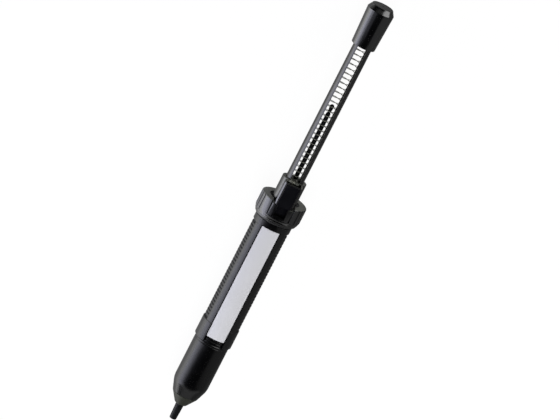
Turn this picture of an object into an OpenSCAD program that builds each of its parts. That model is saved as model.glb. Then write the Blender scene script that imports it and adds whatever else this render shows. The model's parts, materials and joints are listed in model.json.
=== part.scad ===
// Spring-driven desoldering pump. A piston and its main spring work in the barrel. A slotted
// loading tube with a knob pushes the piston down, a latch plate holds the piston's rod, and
// the trigger button lets it go, so that the piston draws molten solder in at the nozzle.
// Each piece is drawn in the tool's own frame: z runs along the tool from the nozzle's mouth
// to the knob, and the front, with the label plate and the trigger, faces -y.
// lie() then lays the whole tool on its back on the bench, with z turned to +X and the front up.

/* [Nozzle and nose] */
// Diameter of the nozzle's bore
nozzle_bore = 1.9; // [1:0.1:2.6]
// Outside diameter of the nozzle at its mouth
nozzle_tip_d = 5.1; // [4:0.1:5.6]
// Outside diameter of the nozzle at the nose
nozzle_root_d = 6; // [5.8:0.1:6.6]
// Length of the nozzle outside the nose
nozzle_len = 12.8; // [8:0.2:20]
// Diameter of the flange that holds the nozzle in the nose
nozzle_flange_d = 9.2; // [8:0.2:11]
// Thickness of the nozzle's flange
nozzle_flange_t = 2.4; // [1.5:0.1:4]
// Diameter of the flat face of the nose
nose_face_d = 9.4; // [8:0.1:10]
// Diameter of the nose where it meets the barrel
nose_d = 19.3; // [18.8:0.1:20.4]
// Length of the nose cone outside the barrel
nose_len = 8.2; // [6:0.1:12]
// Chamfer on the nose where it meets the barrel
nose_chamfer = 0.35; // [0.2:0.05:0.5]
// Depth from the face of the nose to the seat of the nozzle's flange
nose_seat = 4.5; // [3:0.1:5.5]
// Diameter of the plug that holds the nose in the barrel
nose_plug_d = 16.4; // [15:0.1:17]
// Length of the plug
nose_plug_len = 7; // [5:0.1:9]
// Thickness of the nose's sealing ring
nose_seal_t = 1.1; // [0.8:0.1:1.5]
// Distance from the nose's shoulder to the sealing ring's groove
nose_seal_rise = 2.6; // [2:0.1:3.2]

/* [Barrel] */
// Outside diameter of the barrel
barrel_d = 25.6; // [24.6:0.1:26.4]
// Thickness of the barrel's wall
barrel_wall = 1.8; // [1.5:0.1:2.2]
// Length of the taper at the barrel's front end
taper_len = 8.6; // [7:0.1:12]
// Radius of the soft corner between the taper and the barrel
corner_r = 15; // [5:1:20]
// Length of barrel between the taper and the grip
bare_len = 36; // [25:0.5:50]
// Depth of the fine grooves round the barrel, on both sides of the grip's lower end
groove_depth = 0.3; // [0.1:0.05:0.4]
// Width of a fine groove
groove_w = 0.9; // [0.5:0.1:1.2]
// Spacing of the fine grooves
groove_pitch = 1.77; // [1.5:0.01:1.9]
// Length of barrel inside the collar
barrel_top_len = 5; // [4:0.1:6]
// Depth of the seat that the grip slides onto, below the plain barrel
seat_drop = 0.5; // [0.3:0.05:0.6]

/* [Grip] */
// Thickness of the grip's lower band
band_t = 1.55; // [1.2:0.05:1.7]
// Length of the lower band
band_len = 14.3; // [8:0.1:20]
// Thickness of the grip over its ribs
rib_t = 1.05; // [0.9:0.05:1.15]
// Depth of the hollows between the ribs
rib_depth = 0.6; // [0.2:0.05:0.65]
// Spacing of the ribs
rib_pitch = 2.56; // [2:0.02:3]
// Number of ribs
rib_count = 30; // [20:1:36]
// Thickness of the smooth panel round the label
panel_t = 1.1; // [1:0.05:1.2]
// Width of that panel
panel_w = 22.6; // [18:0.1:23.4]
// Plain length between the band and the first rib
band_gap = 1; // [0.5:0.1:2]
// Plain length between the last rib and the upper ring
ring_gap = 1.7; // [1:0.1:3]
// Thickness of the grip's upper ring
ring_t = 1.45; // [1.3:0.05:1.7]
// Length of the upper ring
ring_len = 5.5; // [4:0.1:8]

/* [Label plate] */
// Width of the label plate
label_w = 13.9; // [10:0.1:15]
// Thickness of the label plate
label_t = 0.8; // [0.6:0.1:1]
// Distance from the grip's lower end to the label plate
label_start = 4.8; // [4.4:0.1:6]
// Distance from the label plate to the grip's upper end
label_end = 5; // [3.5:0.1:8]
// Margin between the label plate and the window in the grip
label_margin = 0.35; // [0.3:0.05:0.8]

/* [Collar] */
// Outside diameter of the collar
collar_d = 33.8; // [32:0.1:36]
// Length of the collar
collar_len = 16.1; // [15:0.1:18]
// Diameter of the hole in the collar's rim
collar_hole_d = 22.4; // [22:0.1:23]
// Height of the stepped foot below the collar's full width
foot_step_h = 5.2; // [4.5:0.1:5.3]
// Width of the stepped foot
foot_step_w = 2.6; // [2:0.1:3]
// Radius of the rounding on the rim
rim_round = 0.6; // [0.5:0.1:1.2]
// Number of flutes round the whole collar
flute_count = 32; // [24:1:36]
// Radius of a flute
flute_r = 0.9; // [0.4:0.1:2]
// Depth of a flute
flute_depth = 0.6; // [0.3:0.05:0.6]
// Height of the flutes' lower ends above the collar's lower end
flute_start = 3; // [2:0.1:5]
// Angle of the collar's plain front, left of its middle
plain_left = 50; // [34:1:60]
// Angle of the collar's plain front, right of its middle
plain_right = 36; // [34:1:60]
// Depth of the flat at the collar's back, on which the tool lies
back_flat = 0.5; // [0.4:0.05:0.7]
// Width of the window in the collar's front
window_w = 16.1; // [15:0.1:17]
// Height of the window's sill above the collar's lower end
window_sill = 5.4; // [5.2:0.1:6]
// Width of the chamfer on the window's long edges
window_chamfer = 0.8; // [0.4:0.1:1]
// Depth of the pad at the window's lower end, below the collar's surface
pad_drop = 0.4; // [0.2:0.05:0.6]
// Height of the foot's slot above the window's sill
pad_lip = 1.4; // [1:0.1:2]

/* [Neck] */
// Outside diameter of the neck
neck_d = 18.1; // [17.4:0.1:19]
// Length of the neck above the collar's rim
neck_len = 15.8; // [15.6:0.1:18]
// Gap all round between the collar's hole and the step that carries the snap ring
neck_step_gap = 0.3; // [0.2:0.1:0.6]
// Depth of the step below the collar's rim
neck_step_drop = 3.5; // [3:0.1:4]
// Gap all round between the flange and the collar's skirt
neck_flange_gap = 0.1; // [0.05:0.05:0.3]
// Thickness of the flange
neck_flange_t = 3; // [2.5:0.1:3.5]
// Thickness of the snap ring
snap_ring_t = 1.4; // [1:0.1:1.8]

/* [Trigger] */
// Width over the cheeks of the trigger's housing
cheek_w = 13.3; // [13:0.1:14]
// Thickness of a cheek
cheek_t = 1.3; // [1:0.1:1.5]
// Width of the chamfer on a cheek's front edge
cheek_chamfer = 1; // [0.4:0.1:1]
// Height of the trigger button
button_h = 16.8; // [16.6:0.1:17]
// Wall of the button in front of its pin's slot
button_wall = 0.9; // [0.7:0.1:1.5]
// Distance that the button's face stands out in front of the cheeks
button_proud = 1.5; // [1.2:0.1:1.8]
// Radius of the button's long edges
button_round = 0.2; // [0.1:0.1:0.8]
// Travel of the trigger button
trigger_travel = 1.8; // [1:0.1:1.8]
// Diameter of the pin that keeps the button in its housing
trigger_pin_d = 1.6; // [1.2:0.1:1.7]
// Width of the foot below the button
foot_w = 7.6; // [6:0.1:9]
// Thickness of the foot
foot_t = 1.3; // [1:0.1:1.4]
// Depth of the foot's face below the collar's surface
foot_drop = 4; // [3:0.1:4.2]
// Mean diameter of the trigger's spring
trigger_spring_d = 3.8; // [3:0.1:3.9]
// Diameter of the trigger spring's wire
trigger_wire = 0.45; // [0.3:0.05:0.5]
// Number of curls in the trigger's spring
trigger_curls = 5; // [3:1:5]
// Height of the trigger's spring above the button's lower end
trigger_spring_rise = 3.7; // [3.2:0.1:4.2]
// Width of the latch plate
latch_w = 6.2; // [5.6:0.1:6.4]
// Thickness of the latch plate
latch_t = 1.2; // [0.8:0.1:1.4]
// Wall left in the latch plate behind the rod's hole
latch_wall = 1.7; // [1:0.1:1.8]

/* [Loading tube and knob] */
// Outside diameter of the loading tube
tube_d = 13.4; // [13:0.1:13.6]
// Thickness of the loading tube's wall
tube_wall = 2; // [1.6:0.1:2]
// Width of the long slot through the tube
slot_w = 7.2; // [7.2:0.1:8]
// Length of the tube between the neck and the knob
tube_out = 107; // [100:0.5:120]
// Length of the tube inside the knob
tube_in_knob = 24; // [15:0.5:26]
// Diameter of the knob at its lower end
knob_low_d = 17.4; // [16:0.1:19]
// Diameter of the knob near its top
knob_d = 19.7; // [18:0.1:22]
// Length of the knob
knob_len = 31.2; // [30:0.1:40]
// Width of the chamfer at the knob's top
knob_chamfer_w = 2.2; // [1:0.05:3]
// Height of the chamfer at the knob's top
knob_chamfer_h = 3.7; // [1:0.1:4]
// Rounding between the chamfer and the top
knob_top_round = 0.5; // [0.2:0.1:0.6]
// Diameter of the disc set in the knob's top
insert_d = 12.8; // [8:0.1:13]
// Thickness of the disc
insert_t = 0.7; // [0.5:0.1:1]
// Diameter of the small hole in the disc's middle
insert_hole_d = 1.2; // [0.8:0.1:3]
// Gap all round between the stop ring and the barrel's bore
stop_ring_gap = 0.6; // [0.4:0.1:1.5]
// Thickness of the stop ring
stop_ring_t = 3; // [2:0.1:4]
// Thickness of the rubber buffer above the stop ring
buffer_t = 1.2; // [0.8:0.1:2]

/* [Piston and springs] */
// Stroke of the piston and of the loading tube
stroke = 63.5; // [50:0.5:63.5]
// Thickness of the piston
piston_t = 9; // [7:0.1:12]
// Height of the piston's spigot inside the main spring
spigot_h = 2; // [1:0.1:3]
// Length of the gap between the stop ring and the piston
piston_drop = 14.3; // [13:0.1:20]
// Thickness of the piston's sealing ring
piston_seal_t = 1.8; // [1.4:0.1:2.2]
// Diameter of the piston rod
rod_d = 3.2; // [2.8:0.1:3.2]
// Length of the rod that stands above the neck
rod_out = 60.3; // [60.2:0.1:66]
// Width across flats of the rod's nuts
nut_af = 5.5; // [5:0.1:6]
// Thickness of a nut
nut_t = 2.4; // [2:0.1:2.6]
// Outside diameter of the washer under the piston
washer_d = 7; // [6:0.1:9]
// Thickness of the washer
washer_t = 0.5; // [0.3:0.1:1]
// Thickness of the washer at the barrel's front end
front_washer_t = 1.5; // [1:0.1:2]
// Hole through that washer
front_washer_hole = 10.4; // [9.4:0.1:14]
// Mean diameter of the main spring
main_spring_d = 17.2; // [16.8:0.1:18]
// Diameter of the main spring's wire
main_wire = 1.5; // [1:0.1:1.6]
// Number of curls in the main spring
main_curls = 16; // [10:1:18]
// Mean diameter of the knob's return spring
return_spring_d = 8.4; // [7.6:0.1:8.6]
// Diameter of the return spring's wire
return_wire = 0.5; // [0.4:0.05:0.55]
// Number of curls in the return spring
return_curls = 29; // [20:1:32]

/* [Bridge] */
// Width of the bridge that crosses the tube's slot
bridge_w = 6.6; // [6.2:0.1:6.6]
// Thickness of the bridge
bridge_t = 4; // [3.5:0.1:4]
// Thickness of the bridge's front tab
tab_t = 2; // [1.5:0.1:2.2]
// Diameter of the screw head on the tab
screw_head_d = 4.2; // [3:0.1:4.4]
// Height of the screw head
screw_head_h = 1.1; // [0.8:0.1:1.4]
// Distance of the screw to the left of the centre line
screw_left = 1.8; // [1.4:0.1:2.2]

/* [Fits] */
// Clearance all round a sliding fit
slide_fit = 0.05; // [0.02:0.01:0.1]
// Clearance all round a fixed fit
fixed_fit = 0.05; // [0.02:0.01:0.1]
// Gap between moving faces that don't bear on each other
face_gap = 0.3; // [0.2:0.05:0.4]
// Gap between a spring's end and its seat
spring_gap = 0.05; // [0.02:0.01:0.1]

/* [Hidden] */
$fn = 96;

// Radii
nose_r = nose_d / 2;
plug_r = nose_plug_d / 2;
barrel_r = barrel_d / 2;
bore_r = barrel_r - barrel_wall;
seat_r = barrel_r - seat_drop;
sleeve_bore_r = seat_r + fixed_fit;
band_r = sleeve_bore_r + band_t;
rib_r = sleeve_bore_r + rib_t;
panel_r = sleeve_bore_r + panel_t;
ring_r = sleeve_bore_r + ring_t;
collar_r = collar_d / 2;
collar_hole_r = collar_hole_d / 2;
neck_r = neck_d / 2;
flange_r = sleeve_bore_r - neck_flange_gap;
step_r = collar_hole_r - neck_step_gap;
stop_ring_r = bore_r - stop_ring_gap;
tube_r = tube_d / 2;
tube_bore_r = tube_r - tube_wall;
neck_bore_r = tube_r + slide_fit;
rod_r = rod_d / 2;
rod_hole_r = rod_r + slide_fit;
knob_r = knob_d / 2;

// Stations along the tool
nose_z = nozzle_len;
joint_z = nose_z + nose_len;
barrel_z = joint_z + taper_len;
grip_z = barrel_z + bare_len;
rib_z = grip_z + band_len + band_gap;
ring_z = rib_z + rib_count * rib_pitch + ring_gap;
collar_z = ring_z + ring_len;
rim_z = collar_z + collar_len;
neck_top_z = rim_z + neck_len;
knob_z = neck_top_z + tube_out;
top_z = knob_z + knob_len;
barrel_top_z = collar_z + barrel_top_len;
flange_top_z = barrel_top_z + neck_flange_t;
step_z = rim_z - neck_step_drop;
sill_z = collar_z + window_sill;
label_z = grip_z + label_start;
label_len = collar_z - label_end - label_z;

// Groove for the nose's sealing ring
seal_slack = 0.2;
nose_groove_z = joint_z + nose_seal_rise;
nose_groove_top_z = nose_groove_z + nose_seal_t + seal_slack;

// Soft corner between the barrel's taper and its full width
nose_lip = 0.1;
taper_angle = atan((barrel_r - nose_r - nose_lip) / taper_len);
corner_len = corner_r * tan(taper_angle / 2);

// Barrel's front seat, behind the nose's plug
plug_gap = 0.5;
front_seat_z = joint_z + nose_plug_len + plug_gap;
spring_low_z = front_seat_z + front_washer_t;

// Stop ring, piston and rod
buffer_z = barrel_top_z - buffer_t;
stop_ring_top_z = buffer_z - face_gap;
stop_ring_z = stop_ring_top_z - stop_ring_t;
piston_top_z = stop_ring_z - piston_drop;
piston_z = piston_top_z - piston_t;
tube_end_z = piston_top_z + face_gap;
nut_low_z = piston_z - washer_t - nut_t;
thread_end = 0.7;
rod_low_z = nut_low_z - thread_end;
rod_top_z = neck_top_z + rod_out;

// Trigger block: the button's height ends just below the neck's top
block_drop = 0.3;
button_gap = 0.15;
button_top_z = neck_top_z - block_drop - button_gap;
button_z = button_top_z - button_h;
block_z = button_z - button_gap;
pad_top_z = block_z - button_gap;
cheek_x = cheek_w / 2;
cheek_in = cheek_x - cheek_t;
button_w = cheek_w - 2 * cheek_t - 2 * button_gap;
bridge_z = neck_top_z - bridge_t;
tab_z = neck_top_z - tab_t;
web_t = 3.9;
web_z = tab_z - web_t;
web_reach = 11;
button_step_z = web_z - face_gap;
button_back = neck_r + face_gap + trigger_travel + button_gap;
pin_wall = 0.7;
pin_slot_gap = 0.1;
pin_r = trigger_pin_d / 2;
pin_z = button_step_z - pin_wall - pin_r - pin_slot_gap;
pin_y = button_back + pin_wall + pin_slot_gap + pin_r;
latch_gap = 0.3;
button_reach = pin_y + pin_r + pin_slot_gap + trigger_travel + button_wall;
cheek_reach = button_reach - button_proud;
latch_z = pin_z - pin_r - pin_slot_gap - latch_gap - latch_t;
latch_seat = 3.4;
latch_front = button_reach - latch_seat;
latch_slack = 0.1;
latch_back = rod_r + latch_slack + latch_wall;
trigger_spring_z = button_z + trigger_spring_rise;
trigger_spring_r = trigger_spring_d / 2;
pocket_r = trigger_spring_r + trigger_wire / 2 + face_gap;
pocket_floor = neck_r - 0.55;
pocket_wall = 2.6;
pocket_end = button_reach - pocket_wall;
foot_front = collar_r - foot_drop;
foot_slot_z = sill_z + pad_lip;
foot_z = foot_slot_z + face_gap;
foot_slot_floor = foot_front - foot_t - trigger_travel - face_gap;
screw_y = 9.9;
screw_r = 0.9;
tab_left = cheek_in - fixed_fit;
tab_right = 3;
slot_below_latch = 9;
slot_z = latch_z - slot_below_latch;

// Spring lengths
main_len = piston_z - spring_low_z - 2 * spring_gap;
knob_plug_z = knob_z + 2;
return_len = knob_plug_z - neck_top_z - 2 * spring_gap;
trigger_len = pocket_end - pocket_floor - 2 * spring_gap;

// Flutes, spaced so that none meets the plain front or the flat at the back
flute_c = collar_r + flute_r - flute_depth;
flute_cos = (pow(collar_r, 2) + pow(flute_c, 2) - pow(flute_r, 2)) / (2 * collar_r * flute_c);
flute_pitch = 360 / flute_count;
first_flute = ceil((acos(1 - back_flat / collar_r) + acos(flute_cos)) / flute_pitch);
last_flutes = [for (plain = [plain_left, plain_right]) ceil((180 - plain) / flute_pitch) - 1];

// The tool rests on the flat at the collar's back
rest_h = collar_r - back_flat;

// Colours
BLACK = "#1b1b1e";
GREY = "#4a4b4c";
SILVER = "#c9cbce";
STEEL = "#b4b6b8";
RUBBER = "#262626";
BRASS = "#b89a56";
WHITE = "#e6e4dc";

// Cuts run past the faces they open by this much
over = 1;

// ---- helpers ----

// Lays the tool on its back: nozzle to -X, knob to +X, trigger and label up
module lie() {
  translate([-top_z / 2, 0, rest_h])
    rotate([-90, 0, -90])
      children();
}

// A ring or disc from z0 to z1
module ring(r, hole, z0, z1) {
  translate([0, 0, z0])
    difference() {
      cylinder(r = r, h = z1 - z0);
      translate([0, 0, -over])
        cylinder(r = hole, h = z1 - z0 + 2 * over);
    }
}

// A box between two corners
module span(low, high) {
  translate(low)
    cube([high[0] - low[0], high[1] - low[1], high[2] - low[2]]);
}

// Points of a quarter ellipse in the r-z plane, from its side to its top
function quarter(c, w, h, steps) =
  [for (i = [0 : steps]) [c[0] + w * cos(90 * i / steps), c[1] + h * sin(90 * i / steps)]];

// ---- wound springs ----

RINGS = 8;
SIDES = 6;

function unit(v) = v / norm(v);

// Angle of ring i, which starts at the front
function coil_angle(i) = -90 + 360 * i / RINGS;

// Centre line: a straight end one wire long, the curls, and a straight end
function coil_path(r, len, curls, wire) =
  let (steps = curls * RINGS, rise = (len - 2 * wire) / steps)
  concat(
    [[0, -r, 0]],
    [for (i = [0 : steps]) [r * cos(coil_angle(i)), r * sin(coil_angle(i)), wire + rise * i]],
    [[0, -r, len]]
  );

// Direction of the line at point i, halfway between the stretches that meet there
function line_dir(p, i) =
  unit(
    (i > 0 ? unit(p[i] - p[i - 1]) : [0, 0, 0])
    + (i < len(p) - 1 ? unit(p[i + 1] - p[i]) : [0, 0, 0])
  );

// The six points of the wire's surface at point i
function wire_ring(p, i, wire) =
  let (
    t = line_dir(p, i),
    e = unit([p[i][0], p[i][1], 0]),
    n = unit(e - (e * t) * t),
    b = cross(t, n)
  )
  [for (j = [0 : SIDES - 1]) p[i] + wire / 2 * (cos(360 * j / SIDES) * n + sin(360 * j / SIDES) * b)];

// Least distance between the surfaces of two curls, from the line's points
function coil_gap(p, wire) =
  min([
    for (i = [0 : len(p) - 1 - RINGS])
      for (j = [i + RINGS - 1 : min(i + RINGS + 1, len(p) - 1)])
        norm(p[i] - p[j])
  ]) - wire;

// One unbroken wire along the path
module wound(p, wire) {
  count = len(p);
  points = [for (i = [0 : count - 1]) each wire_ring(p, i, wire)];
  sides = [
    for (i = [0 : count - 2])
      for (j = [0 : SIDES - 1])
        let (a = i * SIDES + j, b = i * SIDES + (j + 1) % SIDES)
        each [[a, a + SIDES, b + SIDES], [a, b + SIDES, b]]
  ];
  low = [for (j = [1 : SIDES - 2]) [0, j, j + 1]];
  last = (count - 1) * SIDES;
  high = [for (j = [1 : SIDES - 2]) [last, last + j + 1, last + j]];
  polyhedron(points = points, faces = concat(sides, low, high));
}

main_path = coil_path(main_spring_d / 2, main_len, main_curls, main_wire);
return_path = coil_path(return_spring_d / 2, return_len, return_curls, return_wire);
trigger_path = coil_path(trigger_spring_r, trigger_len, trigger_curls, trigger_wire);
echo(main_spring_least_gap_mm = coil_gap(main_path, main_wire));
echo(return_spring_least_gap_mm = coil_gap(return_path, return_wire));
echo(trigger_spring_least_gap_mm = coil_gap(trigger_path, trigger_wire));

// ---- nozzle and nose ----

module nozzle() {
  tip_r = nozzle_tip_d / 2;
  root_r = nozzle_root_d / 2;
  flange_z = nose_z + nose_seat;
  end_z = flange_z + nozzle_flange_t;
  edge = 0.6;
  color(GREY) lie()
    difference() {
      rotate_extrude()
        polygon([
          [0, 0],
          [tip_r - edge, 0],
          [tip_r - edge / 4, edge / 4],
          [tip_r, edge],
          [root_r, nose_z],
          [root_r, flange_z],
          [nozzle_flange_d / 2, flange_z],
          [nozzle_flange_d / 2, end_z],
          [0, end_z]
        ]);
      translate([0, 0, -over])
        cylinder(r = nozzle_bore / 2, h = end_z + 2 * over);
    }
}

module nose_cone() {
  face_r = nose_face_d / 2;
  edge = 0.4;
  seat_z = nose_z + nose_seat;
  end_z = joint_z + nose_plug_len;
  color(BLACK) lie()
    difference() {
      rotate_extrude()
        polygon([
          [0, nose_z],
          [face_r - edge, nose_z],
          [face_r, nose_z + edge],
          [nose_r, joint_z - nose_chamfer],
          [nose_r - nose_chamfer, joint_z],
          [plug_r, joint_z],
          [plug_r, nose_groove_z],
          [plug_r - nose_seal_t, nose_groove_z],
          [plug_r - nose_seal_t, nose_groove_top_z],
          [plug_r, nose_groove_top_z],
          [plug_r, end_z],
          [0, end_z]
        ]);
      translate([0, 0, nose_z - over])
        cylinder(r = nozzle_root_d / 2 + fixed_fit, h = nose_seat + 2 * over);
      translate([0, 0, seat_z])
        cylinder(r = nozzle_flange_d / 2 + fixed_fit, h = end_z - seat_z + over);
    }
}

module nose_seal() {
  color(RUBBER) lie()
    translate([0, 0, (nose_groove_z + nose_groove_top_z) / 2])
      rotate_extrude()
        translate([plug_r - nose_seal_t / 2 + slide_fit, 0])
          circle(r = nose_seal_t / 2, $fn = 32);
}

// ---- barrel ----

// Points of the arc that joins the taper to the barrel's full width
function corner_points(steps) =
  [
    for (i = [steps : -1 : 0])
      let (a = taper_angle * i / steps)
      [barrel_r - corner_r * (1 - cos(a)), barrel_z + corner_len - corner_r * sin(a)]
  ];

// A fine V-shaped groove round a cylinder, seen as a cut through it at height z
module groove_cut(r, z) {
  past = 0.1;
  half_w = groove_w / 2 * (groove_depth + past) / groove_depth;
  rotate_extrude()
    polygon([[r - groove_depth, z], [r + past, z - half_w], [r + past, z + half_w]]);
}

module barrel() {
  color(BLACK) lie()
    difference() {
      rotate_extrude()
        polygon(concat(
          [
            [plug_r + 2 * fixed_fit, joint_z],
            [nose_r + nose_lip, joint_z]
          ],
          corner_points(6),
          [
            [barrel_r, grip_z - seat_drop],
            [seat_r, grip_z],
            [seat_r, barrel_top_z],
            [bore_r, barrel_top_z],
            [bore_r, front_seat_z],
            [plug_r + 2 * fixed_fit, front_seat_z]
          ]
        ));
      groove_cut(barrel_r, grip_z - groove_pitch);
      for (i = [1 : 2])
        groove_cut(seat_r, grip_z + i * groove_pitch);
    }
}

module front_washer() {
  color(STEEL) lie()
    ring(bore_r - slide_fit, front_washer_hole / 2, front_seat_z, front_seat_z + front_washer_t);
}

// ---- grip and label ----

// Outline of one rib, from one hollow to the next
function rib_points(i) =
  let (
    low = rib_r - rib_depth,
    z = rib_z + i * rib_pitch
  )
  [
    [low, z],
    [low, z + rib_pitch * 0.16],
    [rib_r, z + rib_pitch * 0.38],
    [rib_r, z + rib_pitch * 0.78]
  ];

module grip_sleeve() {
  panel_x = panel_w / 2;
  low_r = rib_r - rib_depth;
  chamfer = 0.4;
  seam = 0.2;
  band_top = grip_z + band_len;
  end_z = collar_z - seam;
  window_x = label_w / 2 + label_margin;
  window_high = label_z + label_len + label_margin;
  color(BLACK) lie()
    difference() {
      union() {
        rotate_extrude()
          polygon(concat(
            [
              [sleeve_bore_r, grip_z],
              [band_r - chamfer, grip_z],
              [band_r, grip_z + chamfer],
              [band_r, band_top - chamfer],
              [band_r - chamfer, band_top],
              [low_r, band_top]
            ],
            [for (i = [0 : rib_count - 1]) each rib_points(i)],
            [
              [low_r, rib_z + rib_count * rib_pitch],
              [low_r, ring_z],
              [ring_r - chamfer, ring_z],
              [ring_r, ring_z + chamfer],
              [ring_r, end_z - chamfer],
              [ring_r - chamfer, end_z],
              [sleeve_bore_r, end_z]
            ]
          ));
        // smooth panel that frames the label
        intersection() {
          ring(panel_r, sleeve_bore_r, band_top - chamfer, ring_z + chamfer);
          span([-panel_x, -ring_r, grip_z], [panel_x, 0, end_z]);
        }
      }
      // the label's window, open at the grip's lower end
      span([-window_x, -ring_r - over, grip_z - over], [window_x, 0, window_high]);
    }
}

module label_plate() {
  inner = seat_r + fixed_fit;
  corner = 1;
  color(SILVER) lie()
    intersection() {
      ring(inner + label_t, inner, label_z, label_z + label_len);
      translate([0, -inner + over, label_z + label_len / 2])
        rotate([90, 0, 0])
          linear_extrude(2 * over + label_t + label_w / 4)
            union() {
              square([label_w, label_len - 2 * corner], center = true);
              square([label_w - 2 * corner, label_len], center = true);
              for (x = [-1, 1])
                for (y = [-1, 1])
                  translate([x * (label_w / 2 - corner), y * (label_len / 2 - corner)])
                    circle(r = corner, $fn = 24);
            }
    }
}

// ---- collar ----

// The stepped foot, as shares of its width and height
foot_steps = [
  [1, 0],
  [0.77, 0.1],
  [0.54, 0.23],
  [0.54, 0.33],
  [0.31, 0.48],
  [0.31, 0.58],
  [0.12, 0.77],
  [0, 1]
];

module collar_cap() {
  skirt_r = sleeve_bore_r;
  window_x = window_w / 2;
  window_y = sqrt(pow(collar_r, 2) - pow(window_x, 2));
  slot_x = foot_w / 2 + button_gap;
  color(BLACK) lie()
    difference() {
      rotate_extrude()
        polygon(concat(
          [
            [skirt_r, collar_z],
            for (step = foot_steps)
              [collar_r - foot_step_w * step[0], collar_z + foot_step_h * step[1]]
          ],
          quarter([collar_r - rim_round, rim_z - rim_round], rim_round, rim_round, 5),
          [
            [collar_hole_r, rim_z],
            [collar_hole_r, flange_top_z],
            [skirt_r, flange_top_z]
          ]
        ));
      // window for the trigger's housing, over a pad that lies a little below the surface
      span([-window_x, -collar_r - over, pad_top_z], [window_x, 0, rim_z + over]);
      intersection() {
        ring(collar_r + over, collar_r - pad_drop, sill_z, rim_z);
        span([-window_x, -collar_r - over, sill_z], [window_x, 0, rim_z]);
      }
      for (side = [-1, 1])
        translate([side * window_x, -window_y, sill_z])
          cylinder(r = window_chamfer, h = collar_len, $fn = 4);
      // slot for the foot of the button
      span([-slot_x, -collar_r - over, foot_slot_z], [slot_x, 0, rim_z]);
      // flat at the back
      span(
        [-collar_r, collar_r - back_flat, collar_z - over],
        [collar_r, collar_r + over, rim_z + over]
      );
      for (side = [0, 1])
        for (i = [first_flute : last_flutes[side]])
          rotate([0, 0, 90 + (side == 0 ? 1 : -1) * i * flute_pitch])
            translate([flute_c, 0, collar_z + flute_start])
              cylinder(r = flute_r, h = collar_len, $fn = 32);
    }
}

module snap_ring() {
  gap_x = window_w / 2;
  color(STEEL) lie()
    difference() {
      ring(collar_hole_r - fixed_fit, neck_r + fixed_fit, step_z, step_z + snap_ring_t);
      span([-gap_x, -collar_r, step_z - over], [gap_x, 0, step_z + snap_ring_t + over]);
    }
}

// ---- neck, bridge and trigger housing ----

// Section of a cheek, from its root to its chamfered front edge
module cheek_section() {
  polygon([
    [cheek_x, 0],
    [cheek_x, -cheek_reach + cheek_chamfer],
    [cheek_x - cheek_chamfer, -cheek_reach],
    [cheek_in, -cheek_reach],
    [cheek_in, 0]
  ]);
}

module neck_housing() {
  block_top = neck_top_z - block_drop;
  color(BLACK) lie()
    difference() {
      union() {
        ring(flange_r, neck_bore_r, barrel_top_z, flange_top_z);
        ring(step_r, neck_bore_r, barrel_top_z, step_z);
        ring(neck_r, neck_bore_r, barrel_top_z, neck_top_z);
        // cheeks beside the button, and the web behind its upper half
        difference() {
          union() {
            for (side = [0, 1])
              mirror([side, 0, 0])
                translate([0, 0, block_z])
                  linear_extrude(block_top - block_z)
                    cheek_section();
            span([-cheek_x, -web_reach, web_z], [cheek_x, 0, tab_z]);
          }
          translate([0, 0, barrel_top_z])
            cylinder(r = neck_bore_r, h = neck_top_z);
        }
      }
      // slot for the foot of the button
      span(
        [-foot_w / 2 - button_gap, -foot_front, foot_slot_z],
        [foot_w / 2 + button_gap, -foot_slot_floor, block_z + over]
      );
      // pocket for the trigger's spring
      translate([0, -pocket_floor, trigger_spring_z])
        rotate([90, 0, 0])
          cylinder(r = pocket_r, h = flange_r);
      // slot for the latch plate
      span(
        [-latch_w / 2 - button_gap, -flange_r, latch_z - button_gap],
        [latch_w / 2 + button_gap, 0, latch_z + latch_t + button_gap]
      );
      // notch for the bridge
      span(
        [-bridge_w / 2, -neck_r - over, bridge_z],
        [bridge_w / 2, neck_r + over, neck_top_z + over]
      );
      // seat for the bridge's front tab, open on the right
      span([-cheek_in, -web_reach - over, tab_z], [cheek_in, -neck_r + 2.1, neck_top_z + over]);
      // hole for the trigger's pin
      translate([-cheek_x - over, -pin_y, pin_z])
        rotate([0, 90, 0])
          cylinder(r = pin_r + fixed_fit, h = cheek_w + 2 * over);
      // hole for the screw
      translate([-screw_left, -screw_y, web_z + 0.6])
        cylinder(r = screw_r + fixed_fit, h = bridge_t);
    }
}

module spring_bridge() {
  color(BLACK) lie()
    difference() {
      union() {
        intersection() {
          translate([0, 0, bridge_z])
            cylinder(r = neck_r, h = bridge_t);
          span(
            [-bridge_w / 2, -neck_r, bridge_z],
            [bridge_w / 2, neck_r, neck_top_z]
          );
        }
        difference() {
          span([-tab_left, -web_reach, tab_z], [tab_right, -neck_r + 2.05, neck_top_z]);
          translate([0, 0, tab_z - over])
            cylinder(r = tube_r + face_gap, h = bridge_t);
        }
      }
      translate([0, 0, bridge_z - over])
        cylinder(r = rod_hole_r, h = bridge_t + 2 * over);
      translate([-screw_left, -screw_y, tab_z - over])
        cylinder(r = screw_r + fixed_fit, h = bridge_t);
    }
}

module bridge_screw() {
  head_r = screw_head_d / 2;
  low_z = web_z + 0.8;
  edge = 0.35;
  color(STEEL) lie()
    translate([-screw_left, -screw_y, 0])
      difference() {
        rotate_extrude()
          polygon([
            [0, low_z],
            [screw_r, low_z],
            [screw_r, neck_top_z],
            [head_r, neck_top_z],
            [head_r, neck_top_z + screw_head_h - edge],
            [head_r - edge, neck_top_z + screw_head_h],
            [0, neck_top_z + screw_head_h]
          ]);
        translate([0, 0, neck_top_z + 0.2])
          cylinder(r = 0.8, h = screw_head_h, $fn = 6);
      }
}

module trigger_pin() {
  color(STEEL) lie()
    translate([-cheek_w / 2 + 0.1, -pin_y, pin_z])
      rotate([0, 90, 0])
        cylinder(r = pin_r, h = cheek_w - 0.2, $fn = 32);
}

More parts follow.
